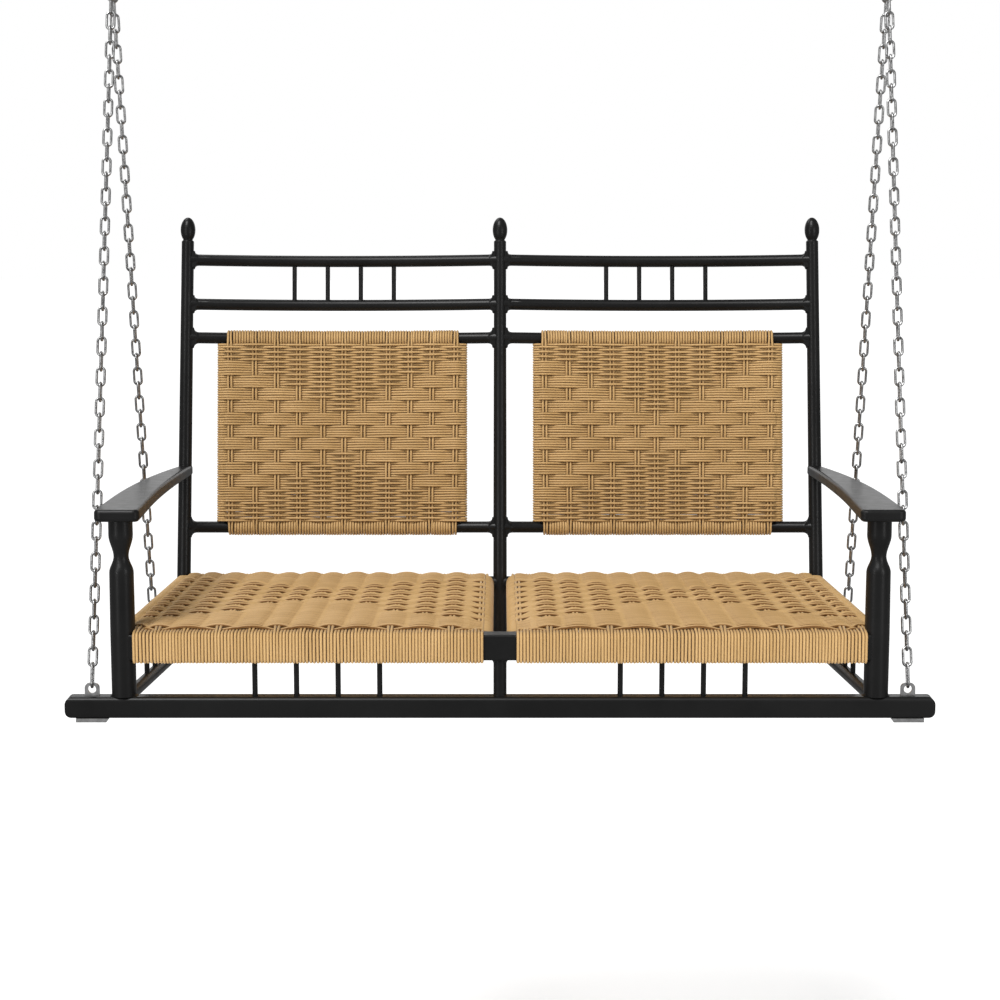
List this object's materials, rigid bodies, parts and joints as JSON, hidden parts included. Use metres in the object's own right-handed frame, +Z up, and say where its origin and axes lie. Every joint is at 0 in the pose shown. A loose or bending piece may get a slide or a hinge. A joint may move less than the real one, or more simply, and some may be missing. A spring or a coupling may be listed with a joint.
{
  "type": "hanging porch swing",
  "caption": "Hanging porch swing with a black turned timber frame, woven rope seats and backs, hung on link chains from ceiling eyes, swinging to and fro",
  "frame": {"origin": "on the ceiling plane, midway between the two ceiling eyes, at the centre of the ceiling bolt pattern", "axes": "+X to the right as seen from the front, +Y to the back of the swing, +Z up"},
  "size_m": [1.336, 0.6566, 1.214],
  "materials": {
    "black_timber": "satin black paint on hardwood",
    "rope": "tan twisted kraft and fibre rope, matt",
    "chain_steel": "bright zinc plated",
    "bracket_steel": "zinc plated plate, satin",
    "hardware_steel": "zinc plated, satin"
  },
  "bodies": {
    "ceiling_hardware": {"left_ceiling_plate": "hardware_steel", "right_ceiling_plate": "hardware_steel", "left_ceiling_eye": "hardware_steel", "right_ceiling_eye": "hardware_steel"},
    "swing": {"left_top_ring": "hardware_steel", "right_top_ring": "hardware_steel", "left_front_chain": "chain_steel", "left_rear_chain": "chain_steel", "right_front_chain": "chain_steel", "right_rear_chain": "chain_steel", "front_connector_links": "chain_steel", "rear_connector_links": "chain_steel", "left_front_bracket": "bracket_steel", "left_rear_bracket": "bracket_steel", "right_front_bracket": "bracket_steel", "right_rear_bracket": "bracket_steel", "bracket_screws": "bracket_steel", "front_bottom_rail": "black_timber", "rear_bottom_rail": "black_timber", "left_side_stretcher": "black_timber", "right_side_stretcher": "black_timber", "centre_stretcher": "black_timber", "left_front_post": "black_timber", "right_front_post": "black_timber", "centre_front_post": "black_timber", "front_seat_rail": "black_timber", "left_rear_seat_rail": "black_timber", "right_rear_seat_rail": "black_timber", "left_seat_side_rails": "black_timber", "right_seat_side_rails": "black_timber", "front_spindles": "black_timber", "side_spindles": "black_timber", "left_back_post": "black_timber", "centre_back_post": "black_timber", "right_back_post": "black_timber", "left_finial": "black_timber", "centre_finial": "black_timber", "right_finial": "black_timber", "left_crest_rail": "black_timber", "right_crest_rail": "black_timber", "left_second_rail": "black_timber", "right_second_rail": "black_timber", "left_panel_top_rail": "black_timber", "right_panel_top_rail": "black_timber", "left_panel_bottom_rail": "black_timber", "right_panel_bottom_rail": "black_timber", "left_panel_rods": "black_timber", "right_panel_rods": "black_timber", "crest_spindles": "black_timber", "left_arm": "black_timber", "right_arm": "black_timber", "left_woven_back": "rope", "right_woven_back": "rope", "left_woven_seat": "rope", "right_woven_seat": "rope"}
  },
  "joints": [
    {"name": "swing_to_and_fro", "type": "hinge", "parent": "ceiling_hardware", "child": "swing", "pos_m": [0, 0, -0.043], "axis": [1, 0, 0], "range_deg": [-25, 25]}
  ]
}
